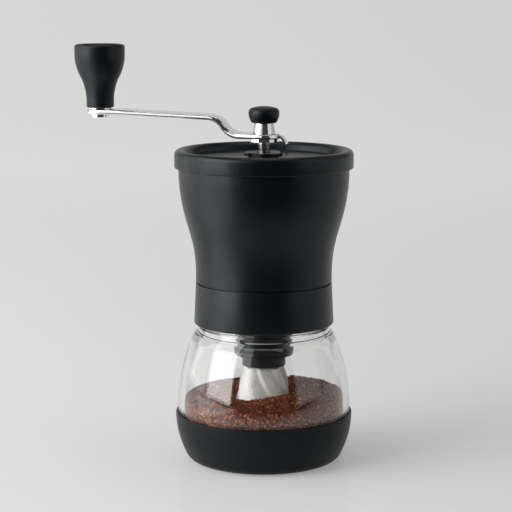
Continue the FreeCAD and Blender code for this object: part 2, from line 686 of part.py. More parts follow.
def make_drive_shaft():
    """Shaft from the burr to the crank: a shoulder for the burr, flats for the crank and a retaining clip."""
    body = turned("drive_shaft", [
        ("0", SHAFT_BOTTOM),
        ("shaft_radius - shaft_chamfer", SHAFT_BOTTOM),
        ("shaft_radius", f"{SHAFT_BOTTOM} + shaft_chamfer"),
        ("shaft_radius", SHAFT_SHOULDER),
        (SHAFT_SHOULDER_RADIUS, SHAFT_SHOULDER),
        (SHAFT_SHOULDER_RADIUS, SHAFT_SHOULDER_TOP),
        ("shaft_radius", SHAFT_SHOULDER_TOP),
        ("shaft_radius", CLIP_BOTTOM),
        ("shaft_radius - clip_groove", CLIP_BOTTOM),
        ("shaft_radius - clip_groove", f"{CLIP_BOTTOM} + clip_thickness"),
        ("shaft_radius", f"{CLIP_BOTTOM} + clip_thickness"),
        ("shaft_radius", f"{SHAFT_TOP} - shaft_chamfer"),
        ("shaft_radius - shaft_chamfer", SHAFT_TOP),
        ("0", SHAFT_TOP),
    ])
    for name, turn in (("front_flat", "0"), ("rear_flat", "180")):
        flat = new_sketch(body, name, "XY_Plane", SHAFT_TOP, turn)
        reach = SHAFT_SHOULDER_RADIUS
        outline(flat, [(f"-{reach}", HALF_FLAT), (reach, HALF_FLAT), (reach, reach), (f"-{reach}", reach)])
        pocket(body, flat, f"{SHAFT_TOP} - {FLATS_BOTTOM}")
    clip = ring("shaft_circlip", "shaft_radius - clip_groove", CLIP_RADIUS, CLIP_BOTTOM,
                f"{CLIP_BOTTOM} + clip_thickness")
    opening = new_sketch(clip, "clip_gap", "XY_Plane", f"{CLIP_BOTTOM} + clip_thickness")
    rectangle(opening, "0", f"{CLIP_RADIUS} + seat_gap", "clip_opening / 2")
    pocket(clip, opening, "clip_thickness")
    ring("thrust_washer", "shaft_radius + seat_gap", THRUST_RADIUS,
         SHAFT_SHOULDER_TOP, f"{SPIDER_BOTTOM} - lift_gap")


def cut_flutes(body, name, stations, half_width, depth, twist, count):
    """Helical flutes along a cone: a V section lofted through stations of (height, cone radius).

    A negative depth cuts outwards, into the wall of a bore.
    """
    sections = []
    last = len(stations) - 1
    for index, (height, radius) in enumerate(stations):
        section = new_sketch(body, f"{name}_{index}", "XY_Plane", height, f"({twist}) * {index} / {last}")
        wide = f"({radius} + ({depth}) / 2)"
        outline(section, [(f"{radius} - ({depth})", "0"), (wide, f"-({half_width})"), (wide, half_width)])
        sections.append(section)
    loft = body.newObject("PartDesign::SubtractiveLoft", f"{name}_cut")
    loft.Profile = sections[0]
    loft.Sections = sections[1:]
    before = body.Shape.Volume
    doc.recompute()
    if body.Shape.Volume >= before:
        raise RuntimeError(f"{name} cuts nothing")
    repeated(body, loft, count)


def make_inner_burr():
    """Turning burr: crushing cone, neck and a skirt with helical flutes."""
    body = turned("inner_burr", [
        ("shaft_radius + seat_gap", BURR_BOTTOM),
        ("burr_foot_radius", BURR_BOTTOM),
        ("burr_skirt_radius", BURR_SKIRT_TOP),
        ("burr_neck_radius", BURR_SKIRT_TOP),
        ("burr_neck_radius", BURR_NECK_TOP),
        (BURR_TOP_RADIUS, SHAFT_SHOULDER),
        ("shaft_radius + seat_gap", SHAFT_SHOULDER),
    ])
    slope = f"((burr_foot_radius - burr_skirt_radius) / ({BURR_SKIRT_TOP} - {BURR_BOTTOM}))"
    low = f"({BURR_BOTTOM} - flute_overrun)"
    high = f"({BURR_SKIRT_TOP} + flute_overrun)"
    heights = [low, f"(({low} * 2 + {high}) / 3)", f"(({low} + {high} * 2) / 3)", high]
    skirt = [(height, f"(burr_foot_radius - {slope} * ({height} - {BURR_BOTTOM}))") for height in heights]
    cut_flutes(body, "flute", skirt, "flute_half_width", "flute_depth", "flute_twist", "flute_count")
    lean = f"((burr_neck_radius - {BURR_TOP_RADIUS}) / ({SHAFT_SHOULDER} - {BURR_NECK_TOP}))"
    foot = f"({BURR_NECK_TOP} + flute_overrun)"
    peak = f"({SHAFT_SHOULDER} + flute_overrun)"
    steps = [foot, f"(({foot} + {peak}) / 2)", peak]
    cone = [(height, f"(burr_neck_radius - {lean} * ({height} - {BURR_NECK_TOP}))") for height in steps]
    cut_flutes(body, "crusher", cone, "crusher_half_width", "crusher_depth", "crusher_twist", "crusher_count")
    washer_bottom = f"({BURR_BOTTOM} - burr_washer_thickness)"
    ring("burr_washer", "shaft_radius + seat_gap", "burr_washer_radius", washer_bottom, BURR_BOTTOM)
    nut = new_body("burr_nut")
    plan = new_sketch(nut, "nut_plan", "XY_Plane", washer_bottom)
    corner = "nut_flats / 2 / cos(30)"
    outline(plan, [(f"{corner} * cos({60 * step})", f"{corner} * sin({60 * step})" if step % 3 else "0")
                   for step in range(6)])
    circle(plan, "shaft_radius + seat_gap")
    pad(nut, plan, "nut_height", reverse=True)


def make_ring_burr():
    """Toothed burr round the cone and the ring under it that sets its height."""
    body = turned("ring_burr", [
        ("ring_edge_radius", BURR_NECK_TOP),
        ("ring_bore", BURR_NECK_TOP),
        ("ring_bore", RING_BURR_TOP),
        ("ring_mouth_radius", RING_BURR_TOP),
    ])
    slope = f"((ring_edge_radius - ring_mouth_radius) / ({RING_BURR_TOP} - {BURR_NECK_TOP}))"
    low = f"({BURR_NECK_TOP} - flute_overrun)"
    high = f"({RING_BURR_TOP} + flute_overrun)"
    bore = [(height, f"(ring_edge_radius - {slope} * ({height} - {BURR_NECK_TOP}))")
            for height in (low, f"(({low} + {high}) / 2)", high)]
    cut_flutes(body, "ring_tooth", bore, "ring_tooth_half_width", "-ring_tooth_depth", "ring_tooth_twist",
               "ring_tooth_count")
    dial = turned("adjusting_ring", [
        ("dial_bore", DIAL_BOTTOM),
        (DIAL_RADIUS, DIAL_BOTTOM),
        (DIAL_RADIUS, f"{CARRIER_BOTTOM} - lift_gap"),
        ("ring_bore", f"{CARRIER_BOTTOM} - lift_gap"),
        ("ring_bore", BURR_NECK_TOP),
        ("dial_bore", BURR_NECK_TOP),
    ])
    index = new_sketch(dial, "index_line", "XY_Plane", DIAL_BOTTOM, "index_angle")
    rectangle(index, f"{DIAL_RADIUS} - index_depth", f"{DIAL_RADIUS} + index_depth", "index_width / 2")
    pocket(dial, index, f"{CARRIER_BOTTOM} - lift_gap - {DIAL_BOTTOM}", reverse=True)


def make_ring_spring():
    """Coil spring between the carrier's ledge and the ring burr, one wire with flat-lying ends."""
    wire = value("spring_wire")
    radius = value(SPRING_RADIUS)
    turns = int(value("spring_turns"))
    low = value(f"{RING_BURR_TOP} + spring_wire / 2 + seat_gap")
    high = value(f"{LEDGE} - spring_wire / 2 - seat_gap")
    quarters = turns * 4
    pitch = (high - low) / turns

    def place(quarter):
        angle = math.radians(90 * quarter)
        return FreeCAD.Vector(radius * math.cos(angle), radius * math.sin(angle),
                              low + pitch * quarter / 4)

    def heading(quarter):
        angle = math.radians(90 * quarter)
        climb = pitch / (2 * math.pi)
        return FreeCAD.Vector(-radius * math.sin(angle), radius * math.cos(angle), climb).normalize()

    edges = []
    for quarter in range(quarters):
        edges += biarc(place(quarter), heading(quarter), place(quarter + 1), heading(quarter + 1))
    path = Part.Wire(edges)
    section = Part.Wire(Part.makeCircle(wire / 2, place(0), heading(0)))
    tube = Part.BRepOffsetAPI.MakePipeShell(path)
    tube.add(section)
    tube.build()
    tube.makeSolid()
    solid = tube.shape()
    print("ring_spring gap to itself", round(pitch - wire, 2), "mm")
    print("ring_spring volume over wire section times length",
          round(solid.Volume / (math.pi * wire ** 2 / 4 * path.Length), 4))
    feature = doc.addObject("Part::Feature", "ring_spring")
    feature.Label = "ring_spring"
    feature.Shape = solid
    feature.Placement = FreeCAD.Placement()
    PIECES.append(feature)


def biarc(start, leaving, end, arriving):
    """Two tangent arcs from one point and heading to another."""
    span = end - start
    across = leaving + arriving
    square = 2 * (1 - leaving.dot(arriving))
    reach = (-span.dot(across) + math.sqrt(span.dot(across) ** 2 + square * span.dot(span))) / square
    joint = (start + end + (leaving - arriving) * reach) / 2
    arcs = []
    for first, heading, last in ((start, leaving, joint), (end, -arriving, joint)):
        chord = last - first
        inward = chord - heading * chord.dot(heading)
        size = chord.dot(chord) / (2 * inward.Length)
        center = first + inward.normalize() * size
        middle = center + ((first + last) / 2 - center).normalize() * size
        points = (first, middle, last) if first is start else (last, middle, first)
        arcs.append(Part.Arc(*points).toShape())
    return arcs


def make_lid():
    """Lid that caps the hopper's rim, with a raised band and a sunk disc, and the notched boss in it."""
    turned("lid_cover", [
        ("lid_bore", LID_BOTTOM),
        ("hopper_radius - hopper_wall - pass_gap", LID_BOTTOM),
        ("hopper_radius - hopper_wall - pass_gap", f"{HOPPER_TOP} + lift_gap"),
        ("hopper_radius + pass_gap", f"{HOPPER_TOP} + lift_gap"),
        ("hopper_radius + pass_gap", f"{HOPPER_TOP} - band_drop"),
        (f"{BAND_RADIUS} - band_edge", f"{HOPPER_TOP} - band_drop", "band_edge"),
        (BAND_RADIUS, f"{HOPPER_TOP} - band_drop + band_edge"),
        (BAND_RADIUS, f"{BAND_TOP} - band_round", "band_round"),
        (f"{BAND_RADIUS} - band_round", BAND_TOP, "band_inner_curve"),
        (BAND_INNER, f"{BAND_TOP} - band_inner_drop"),
        (RECESS_RADIUS, RECESS_FLOOR),
        ("lid_bore", RECESS_FLOOR),
    ])
    bush = turned("lid_bush", [
        (BOSS_BORE, f"{LID_BOTTOM} - boss_flange"),
        ("boss_clinch", f"{LID_BOTTOM} - boss_flange"),
        ("boss_clinch", LID_BOTTOM),
        ("lid_bore - seat_gap", LID_BOTTOM),
        ("lid_bore - seat_gap", RECESS_FLOOR),
        ("boss_neck", RECESS_FLOOR),
        ("boss_neck", f"{BOSS_TOP} - boss_flange"),
        ("boss_radius", f"{BOSS_TOP} - boss_flange"),
        ("boss_radius", f"{BOSS_TOP} - boss_edge", "boss_edge"),
        ("boss_radius - boss_edge", BOSS_TOP),
        (BOSS_BORE, BOSS_TOP),
    ])
    notch = new_sketch(bush, "boss_notch", "XY_Plane", BOSS_TOP, "notch_angle")
    rectangle(notch, "boss_neck", "boss_radius + boss_edge", "notch_width / 2")
    repeated(bush, pocket(bush, notch, "boss_flange"), "notch_count")


def make_crank_arm():
    """Flat bar with an S bend, round at both ends."""
    body = new_body("crank_arm")
    side = new_sketch(body, "arm_side", "XZ_Plane")
    bend_end = "-(bend_start + bend_run)"
    middle = "-(bend_start + bend_run / 2)"
    angle = "(2 * atan(bend_rise / bend_run))"
    curve = f"(bend_run / 2 / sin({angle}))"
    centre = f"({ARM_BOTTOM} + arm_thickness / 2 + bend_rise / 2)"
    sideways = f"arm_thickness / 2 * sin({angle})"
    upwards = f"arm_thickness / 2 * cos({angle})"
    inside = f"({curve} - arm_thickness / 2)"
    outside = f"({curve} + arm_thickness / 2)"
    tip = "-(crank_radius + arm_end_radius)"
    flat = "-(crank_radius - arm_pad)"
    outline(side, [
        (tip, ARM_END_BOTTOM),
        (flat, ARM_END_BOTTOM),
        (bend_end, BEND_TOP, f"-{inside}"),
        (f"{middle} - {sideways}", f"{centre} - {upwards}", outside),
        ("-bend_start", ARM_BOTTOM),
        ("arm_hub_radius", ARM_BOTTOM),
        ("arm_hub_radius", ARM_TOP),
        ("-bend_start", ARM_TOP, f"-{inside}"),
        (f"{middle} + {sideways}", f"{centre} + {upwards}", outside),
        (bend_end, f"{BEND_TOP} + arm_thickness"),
        (flat, ARM_END_TOP),
        (tip, ARM_END_TOP),
    ])
    pad(body, side, "2 * arm_hub_radius", both_ways=True)
    plan = new_sketch(body, "arm_plan", "XY_Plane", KNOB_BOTTOM)
    outer = "(crank_radius + 2 * arm_hub_radius)"
    outline(plan, [(f"-{outer}", "-2 * arm_hub_radius"), ("2 * arm_hub_radius", "-2 * arm_hub_radius"),
                   ("2 * arm_hub_radius", "2 * arm_hub_radius"), (f"-{outer}", "2 * arm_hub_radius")])
    outline(plan, [("-crank_radius", "-arm_end_radius"), ("-arm_waist_place", "-arm_waist"),
                   ("0", "-arm_hub_radius", "arm_hub_radius + seat_gap / 100"), ("0", "arm_hub_radius"),
                   ("-arm_waist_place", "arm_waist"),
                   ("-crank_radius", "arm_end_radius", "arm_end_radius + seat_gap / 100")])
    pocket(body, plan, f"{KNOB_BOTTOM} - {HUB_BOTTOM}")
    socket = new_sketch(body, "arm_socket", "XY_Plane", ARM_TOP)
    double_flat(socket, "shaft_radius + seat_gap", f"{HALF_FLAT} + seat_gap")
    pocket(body, socket, "arm_thickness")
    hole = new_sketch(body, "pin_hole", "XY_Plane", ARM_END_TOP)
    circle(hole, "pin_radius + running_gap", "-crank_radius")
    pocket(body, hole, "arm_thickness")


def make_crank_hub():
    """Washer, driving cone and cap at the crank's hub, with the hook that catches the lid's boss."""
    ring("hub_washer", "shaft_radius + seat_gap", "hub_washer_radius", HUB_BOTTOM, ARM_BOTTOM)
    cone = turned("hub_collar", [
        ("0", ARM_TOP), ("cone_foot_radius", ARM_TOP), ("cone_top_radius", CONE_TOP), ("0", CONE_TOP)])
    socket = new_sketch(cone, "cone_socket", "XY_Plane", CONE_TOP)
    double_flat(socket, "shaft_radius + seat_gap", f"{HALF_FLAT} + seat_gap")
    pocket(cone, socket, "cone_height")
    dome = "(cap_crown_radius ^ 2 + cap_crown ^ 2) / (2 * cap_crown)"
    turned("hub_cap", [
        ("shaft_radius + pass_gap", CONE_TOP),
        ("cap_foot_radius", CONE_TOP, "cap_side_curve"),
        ("cap_radius", f"{CONE_TOP} + cap_widest_rise", "cap_edge_curve"),
        ("cap_crown_radius", f"{CONE_TOP} + cap_height - cap_crown", dome),
        ("0", f"{CONE_TOP} + cap_height"),
        ("0", f"{CONE_TOP} + cap_bore_depth"),
        ("shaft_radius + pass_gap", f"{CONE_TOP} + cap_bore_depth"),
    ])
    hook = new_body("lid_hook")
    side = new_sketch(hook, "hook_side", "XZ_Plane")
    outer = f"({HOOK_INNER} + hook_thickness)"
    foot = f"({RECESS_FLOOR} + lift_gap)"
    root = f"({ARM_BOTTOM} + arm_thickness / 2)"
    outline(side, [
        (HOOK_FOOT, foot),
        (f"{outer} - hook_foot_curve", foot, "hook_foot_curve"),
        (outer, f"{foot} + hook_foot_curve"),
        (outer, HOOK_BEND, "hook_shoulder_curve + hook_thickness"),
        ("arm_hub_radius + seat_gap", f"{root} + hook_thickness / 2"),
        ("arm_hub_radius + seat_gap", f"{root} - hook_thickness / 2", "-hook_shoulder_curve"),
        (HOOK_INNER, HOOK_BEND),
        (HOOK_INNER, f"{foot} + hook_foot_curve"),
        (f"{outer} - hook_foot_curve", f"{foot} + hook_thickness - lift_gap"),
        (HOOK_FOOT, f"{foot} + hook_thickness - lift_gap"),
    ])
    pad(hook, side, "hook_width", both_ways=True)


def make_crank_knob():
    """Flared knob with a dished top, running on a headed pin riveted in the arm."""
    knob_bore = "pin_radius + slide_gap"
    knob = turned("crank_knob", [
        (knob_bore, KNOB_BOTTOM),
        ("knob_foot_radius", KNOB_BOTTOM, "knob_foot_round + seat_gap"),
        ("knob_grip_radius", f"{KNOB_BOTTOM} + knob_foot_round"),
        ("knob_grip_radius", f"{KNOB_BOTTOM} + knob_grip_rise", "-knob_grip_curve"),
        ("knob_flare_radius", f"{KNOB_BOTTOM} + knob_flare_rise", "knob_crown_curve"),
        ("knob_radius", f"{KNOB_BOTTOM} + knob_crown_rise"),
        ("knob_radius", f"{KNOB_TOP} - knob_rim_round", "knob_rim_round"),
        ("knob_radius - knob_rim_round", KNOB_TOP, "-knob_dish_curve"),
        ("knob_plug_radius + seat_gap", DISH_FLOOR),
        ("knob_plug_radius + seat_gap", KNOB_SEAT),
        (knob_bore, KNOB_SEAT),
    ])
    plug = ring("knob_plug", "0", "knob_plug_radius", f"{DISH_FLOOR} - knob_plug_height", DISH_FLOOR)
    pin = turned("knob_pin", [
        ("0", f"{ARM_END_BOTTOM} - pin_head_height"),
        ("pin_head_radius", f"{ARM_END_BOTTOM} - pin_head_height"),
        ("pin_head_radius", ARM_END_BOTTOM),
        ("pin_radius", ARM_END_BOTTOM),
        ("pin_radius", f"{KNOB_SEAT} + lift_gap"),
        ("pin_head_radius", f"{KNOB_SEAT} + lift_gap"),
        ("pin_head_radius", f"{KNOB_SEAT} + lift_gap + pin_head_height"),
        ("0", f"{KNOB_SEAT} + lift_gap + pin_head_height"),
    ])
    washer = ring("knob_washer", "pin_radius + seat_gap", "knob_washer_radius", ARM_END_TOP,
                  f"{ARM_END_TOP} + knob_washer_thickness")
    for body in (knob, plug, pin, washer):
        on_knob_axis(body)


def write_parts():
    """Checks every object, then writes each piece to its own file."""
    doc.recompute()
    for item in doc.Objects:
        if "Invalid" in item.State or "Error" in item.State:
            raise RuntimeError(f"{item.Label} failed: {item.State}")
    for piece in PIECES:
        if piece.Shape.isNull() or not piece.Shape.isValid():
            raise RuntimeError(f"{piece.Label} has no valid shape")
    os.makedirs("parts", exist_ok=True)
    for piece in PIECES:
        piece.Shape.exportStep(f"parts/{piece.Label}.step")
        print(piece.Label, len(piece.Shape.Solids), "solid", round(piece.Shape.Volume, 1), "mm3")


make_base_boot()
make_glass_jar()
make_coffee_grounds()
make_collar()
make_hopper_shell()
make_bearing_bridge()
make_burr_carrier()
make_screws("carrier_screws", "carrier_screw_count", CARRIER_SCREW_CIRCLE, f"{FLANGE_TOP} - flange_thickness",
            "carrier_screw_length", upright=False)
make_screws("bridge_screws", "bridge_arm_count", BRIDGE_SCREW_CIRCLE, BRIDGE_TOP, "bridge_screw_length",
            upright=True)
make_drive_shaft()
make_inner_burr()
make_ring_burr()
make_ring_spring()
make_lid()
make_crank_arm()
make_crank_hub()
make_crank_knob()
write_parts()
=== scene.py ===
import json
import math
import random

import bmesh
import bpy
from mathutils import Matrix, Vector, noise


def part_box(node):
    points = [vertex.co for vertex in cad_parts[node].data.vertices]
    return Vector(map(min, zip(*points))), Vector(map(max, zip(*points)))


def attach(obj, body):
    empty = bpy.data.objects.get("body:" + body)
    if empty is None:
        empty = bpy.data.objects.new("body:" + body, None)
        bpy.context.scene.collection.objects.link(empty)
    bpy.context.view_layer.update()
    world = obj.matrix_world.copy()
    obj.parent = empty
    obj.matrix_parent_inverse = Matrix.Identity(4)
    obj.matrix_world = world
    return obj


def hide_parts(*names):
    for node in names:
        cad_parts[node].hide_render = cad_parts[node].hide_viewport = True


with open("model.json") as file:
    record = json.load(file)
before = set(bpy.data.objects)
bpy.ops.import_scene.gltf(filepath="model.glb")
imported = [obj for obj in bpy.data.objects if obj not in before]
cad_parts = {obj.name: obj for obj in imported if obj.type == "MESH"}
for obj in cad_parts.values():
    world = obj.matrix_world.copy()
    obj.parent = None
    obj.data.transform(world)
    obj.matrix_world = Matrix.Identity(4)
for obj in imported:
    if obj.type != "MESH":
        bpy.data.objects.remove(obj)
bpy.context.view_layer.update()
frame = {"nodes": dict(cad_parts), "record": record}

MM = 0.001
NODES = frame["nodes"]
RECORD = frame["record"]
ROUND_SEGMENTS = 160
ON_AXIS = 1e-4
SHARP = math.radians(32)
# Cool tint on the reflections of the black plastics and rubber: painted colour of cool light in their
# highlights
PAINTED_COOL_LIGHT_TINT = (0.9, 1.0, 1.07, 1.0)
NOISE_RANGE = (0.3, 0.7)

# Heights and places in mm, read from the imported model
BOOT_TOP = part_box("base_boot")[1].z / MM
NECK_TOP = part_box("jar_gasket")[0].z / MM
COLLAR_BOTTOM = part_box("collar_ring")[0].z / MM
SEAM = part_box("collar_ring")[1].z / MM
HOPPER_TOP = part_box("hopper_shell")[1].z / MM
LID_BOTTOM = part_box("lid_cover")[0].z / MM
LID_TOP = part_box("lid_cover")[1].z / MM
ARM_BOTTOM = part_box("hub_washer")[1].z / MM
ARM_END_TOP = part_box("knob_washer")[0].z / MM
ARM_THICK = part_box("hub_collar")[0].z / MM - ARM_BOTTOM
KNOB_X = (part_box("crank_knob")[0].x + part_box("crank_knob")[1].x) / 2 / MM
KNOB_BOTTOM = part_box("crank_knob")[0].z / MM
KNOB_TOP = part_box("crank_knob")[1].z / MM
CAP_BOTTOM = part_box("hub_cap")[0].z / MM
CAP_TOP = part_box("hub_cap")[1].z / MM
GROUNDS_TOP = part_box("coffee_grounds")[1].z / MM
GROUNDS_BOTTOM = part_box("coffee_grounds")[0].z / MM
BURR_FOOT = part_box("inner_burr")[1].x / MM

# Crank arm in mm: widths, the S bend and the pad under the knob
ARM_HUB = 8.75
ARM_WAIST = 6.2
ARM_WAIST_PLACE = -20.0
ARM_END = 7.0
BEND_START = -12.0
BEND_RUN = 17.5
BEND_RISE = 9.4
PAD_REACH = 9.0
SHAFT_HOLE = 3.25
PIN_HOLE = 2.7

# Burr in mm and degrees: flutes round its skirt and crusher grooves in its cone
BURR_SEGMENTS = 288
SKIRT_TOP = 48.7
SKIRT_RADIUS = 10.9
BURR_NECK_TOP = 57.6
BURR_NECK_RADIUS = 8.6
BURR_TIP_RADIUS = 4.8
BURR_BORE = 3.2
FLUTE_COUNT = 8
FLUTE_TWIST = -44.0
FLUTE_DEPTH = 2.2
FLUTE_SLOW_SHARE = 0.7
CRUSHER_BOTTOM = BURR_NECK_TOP + 2.0
CRUSHER_PITCH = 120.0
CRUSHER_LEAN = 3.33
CRUSHER_DEPTH = 1.7
CRUSHER_HALF_WIDTH = 1.2
CRUSHER_LEAST_WALL = 0.2

# Coffee in mm
HEAP_SEGMENTS = 240
HEAP_ROWS = 56
HEAP_RADIUS = 41.45
PIT_RADIUS = BURR_FOOT + 0.5
PIT_FLOOR = 20.2
GRAIN_CELL = 0.9
GRAIN_COUNT = 6000
GRAIN_SEED = 7
GRAIN_SIZES = (0.4, 1.0)
GRAIN_LIFTS = (-0.1, 0.6)
GRAIN_LEAST_SIDES = (0.7, 0.6, 0.5)

# Camera
CAMERA_AZIMUTH = math.radians(13.0)
CAMERA_PITCH = math.radians(9.07)
CAMERA_DISTANCE = 0.927
CAMERA_HEIGHT = 0.2552
CAMERA_SIDE = -0.0041
CAMERA_LENS = 126.84
SENSOR = 36.0

# Paper: each range gives two places in metres and the levels there
PAPER_TINT = (1.0, 1.01, 0.995)
PAPER_ALBEDO = 0.48
PAPER_SHEEN = 0.07
PAPER_SHEEN_ROUGHNESS = 0.16
PAPER_DEPTH_RANGE = (-0.1, 1.6, 0.252, 0.545)
# Paper in front of the object, towards the camera: albedo and glow fall to a twentieth, painted shade that
# keeps the front dark in reflections
PAPER_FRONT_SHADE_RANGE = (-0.3, -0.13, 0.05, 1.0)
# Glow stronger on the left and weaker on the right: painted fall-off of the light from the left lamps
PAPER_PAINTED_FALLOFF_RANGE = (-0.6, 0.6, 1.05, 0.93)

# Light: bearing from the camera and pitch in degrees, distance and size in metres, radiance
LIGHT_AIM = 0.15
SOFTBOXES = (
    ("left_front_box", -64.5, 18.0, 1.0, (0.75, 1.2), 4.85),
    ("left_rear_box", -105.5, 18.0, 1.0, (0.75, 1.2), 1.6),
    ("right_front_box", 64.5, 18.0, 1.0, (0.75, 1.2), 0.72),
    ("right_rear_box", 105.5, 18.0, 1.0, (0.75, 1.2), 0.42),
    ("top_panel", 180.0, 85.0, 1.3, (1.0, 1.0), 1.3),
    ("arm_panel", -31.0, 27.0, 1.3, (0.5, 0.6), 1.3),
)
FLOOR_PANEL_PLACE = (-0.42, 0.14, 0.003)
FLOOR_PANEL_SIZE = (0.44, 0.36)
FLOOR_PANEL_RADIANCE = 1.4
ROOM_LEVEL = 0.052


def camera_side(first, second):
    """Turns x and y into right and near as the camera sees them; the same turn leads back."""
    cos, sin = math.cos(CAMERA_AZIMUTH), math.sin(CAMERA_AZIMUTH)
    return first * cos + second * sin, first * sin - second * cos


# Mesh helpers

def arc_points(start, end, bow, steps=14):
    """Points of the short arc between two points; a positive bow turns left."""
    start, end = Vector(start), Vector(end)
    half = (end - start).length / 2
    along = (end - start).normalized()
    left = Vector((-along.y, along.x))
    offset = math.copysign(math.sqrt(max(bow * bow - half * half, 0.0)), bow)
    center = (start + end) / 2 + left * offset
    first = math.atan2(start.y - center.y, start.x - center.x)
    sweep = 2 * math.asin(min(half / abs(bow), 1.0)) * math.copysign(1, bow)
    angles = [first + sweep * i / steps for i in range(steps + 1)]
    return [center + Vector((math.cos(angle), math.sin(angle))) * abs(bow) for angle in angles]


def corner_points(before, here, after, size, steps=5):
    """Points of a rounded corner."""
    back, ahead = (before - here).normalized(), (after - here).normalized()
    angle = back.angle(ahead)
    longest = 0.45
    reach = min(size / math.tan(angle / 2),
                longest * (before - here).length, longest * (after - here).length)
    start, end = here + back * reach, here + ahead * reach
    points = []
    for step in range(steps + 1):
        way = step / steps
        points.append(start * (1 - way) ** 2 + here * 2 * way * (1 - way) + end * way ** 2)
    return points


def outline(*vertices):
    """A closed half section in mm.

    Each vertex is (radius, height[, corner round[, bow of the arc to the next]]).
    """
    full = [tuple(vertex) + (0.0,) * (4 - len(vertex)) for vertex in vertices]
    points = []
    for index, (radius, height, corner, bow) in enumerate(full):
        here = Vector((radius, height))
        before = Vector(full[index - 1][:2])
        after = Vector(full[(index + 1) % len(full)][:2])
        points += corner_points(before, here, after, corner) if corner else [here]
        if bow:
            points += arc_points(here, after, bow)[1:-1]
    return points


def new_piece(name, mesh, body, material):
    """A mesh piece with its material, riding on a body."""
    piece = bpy.data.objects.new(name, mesh)
    bpy.context.scene.collection.objects.link(piece)
    mesh.materials.append(material)
    mesh.shade_smooth()
    mesh.set_sharp_from_angle(angle=SHARP)
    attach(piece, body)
    return piece


def lathe(name, section, center=(0.0, 0.0), segments=ROUND_SEGMENTS):
    """A mesh turned about a vertical axis from a closed half section in mm."""
    mesh = bpy.data.meshes.new(name)
    form = bmesh.new()
    rings = []
    for point in section:
        if point.x < ON_AXIS:
            rings.append([form.verts.new((center[0] * MM, center[1] * MM, point.y * MM))])
            continue
        ring = []
        for step in range(segments):
            angle = 2 * math.pi * step / segments
            ring.append(form.verts.new(((center[0] + point.x * math.cos(angle)) * MM,
                                        (center[1] + point.x * math.sin(angle)) * MM, point.y * MM)))
        rings.append(ring)
    for ring, following in zip(rings, rings[1:] + rings[:1]):
        if len(ring) == 1 and len(following) == 1:
            continue
        for step in range(segments):
            after = (step + 1) % segments
            corners = [ring[step % len(ring)], ring[after % len(ring)],
                       following[after % len(following)], following[step % len(following)]]
            form.faces.new(dict.fromkeys(corners))
    bmesh.ops.recalc_face_normals(form, faces=form.faces)
    form.to_mesh(mesh)
    form.free()
    return mesh


def cut_away(piece, tool):
    """Cuts another mesh out of a piece."""
    cutter = bpy.data.objects.new("cutter", tool)
    bpy.context.scene.collection.objects.link(cutter)
    change = piece.modifiers.new("cut", "BOOLEAN")
    change.object = cutter
    change.solver = "EXACT"
    shown = piece.evaluated_get(bpy.context.evaluated_depsgraph_get())
    finished = bpy.data.meshes.new_from_object(shown)
    piece.modifiers.clear()
    piece.data = finished
    bpy.data.objects.remove(cutter)
    piece.data.shade_smooth()
    piece.data.set_sharp_from_angle(angle=SHARP)


# Materials

class Finish:
    """A principled material with a few node helpers; every texture is in object space."""

    def __init__(self, name, color, roughness, **values):
        self.material = bpy.data.materials.new(name)
        self.material.use_nodes = True
        self.tree = self.material.node_tree
        self.shader = self.tree.nodes["Principled BSDF"]
        self.place = self.tree.nodes.new("ShaderNodeTexCoord").outputs["Object"]
        self.set("Base Color", (*color, 1.0))
        self.set("Roughness", roughness)
        for key, level in values.items():
            self.set(key.replace("_", " "), level)

    def set(self, socket, level):
        self.shader.inputs[socket].default_value = level

    def join(self, output, socket):
        self.tree.links.new(output, socket)

    def feed(self, socket, output):
        """Drives one of the shader's inputs by a node."""
        self.join(output, self.shader.inputs[socket])

    def noise(self, size_mm, detail=3.0, stretch=None):
        """Noise whose blobs are about size_mm across."""
        node = self.tree.nodes.new("ShaderNodeTexNoise")
        node.inputs["Scale"].default_value = 1.0 / (size_mm * MM)
        node.inputs["Detail"].default_value = detail
        place = self.place
        if stretch:
            mapping = self.tree.nodes.new("ShaderNodeMapping")
            mapping.inputs["Scale"].default_value = stretch
            self.join(place, mapping.inputs["Vector"])
            place = mapping.outputs["Vector"]
        self.join(place, node.inputs["Vector"])
        return node.outputs["Fac"]

    def ramp(self, source, *stops):
        """A colour ramp with stops of (position, colour)."""
        node = self.tree.nodes.new("ShaderNodeValToRGB")
        ends = node.color_ramp.elements
        while len(ends) < len(stops):
            ends.new(0.5)
        for end, (position, color) in zip(ends, stops):
            end.position = position
            end.color = (*color, 1.0)
        self.join(source, node.inputs["Fac"])
        return node.outputs["Color"]

    def span(self, source, low, high):
        """A value moved from the range where noise lies to low..high."""
        node = self.tree.nodes.new("ShaderNodeMapRange")
        node.inputs["From Min"].default_value, node.inputs["From Max"].default_value = NOISE_RANGE
        node.inputs["To Min"].default_value = low
        node.inputs["To Max"].default_value = high
        self.join(source, node.inputs["Value"])
        return node.outputs["Result"]

    def bump(self, source, depth_mm, strength=1.0, invert=False):
        """Relief from a height."""
        node = self.tree.nodes.new("ShaderNodeBump")
        node.invert = invert
        node.inputs["Strength"].default_value = strength
        node.inputs["Distance"].default_value = depth_mm * MM
        self.join(source, node.inputs["Height"])
        self.feed("Normal", node.outputs["Normal"])


def plastic(name, dark, pale, rough, grain_mm, relief_mm):
    """Moulded black plastic: a fine spark-eroded grain, faint mottling and uneven gloss."""
    # Reflections tinted cool: painted colour of cool light
    finish = Finish(name, dark, rough, Specular_IOR_Level=0.3, Specular_Tint=PAINTED_COOL_LIGHT_TINT)
    mottling, gloss = finish.noise(9.0), finish.noise(2.2, 5.0)
    finish.feed("Base Color", finish.ramp(mottling, (0.35, dark), (0.7, pale)))
    finish.feed("Roughness", finish.span(gloss, rough - 0.035, rough + 0.045))
    finish.bump(finish.noise(grain_mm, 2.0), relief_mm, 0.4)
    return finish.material


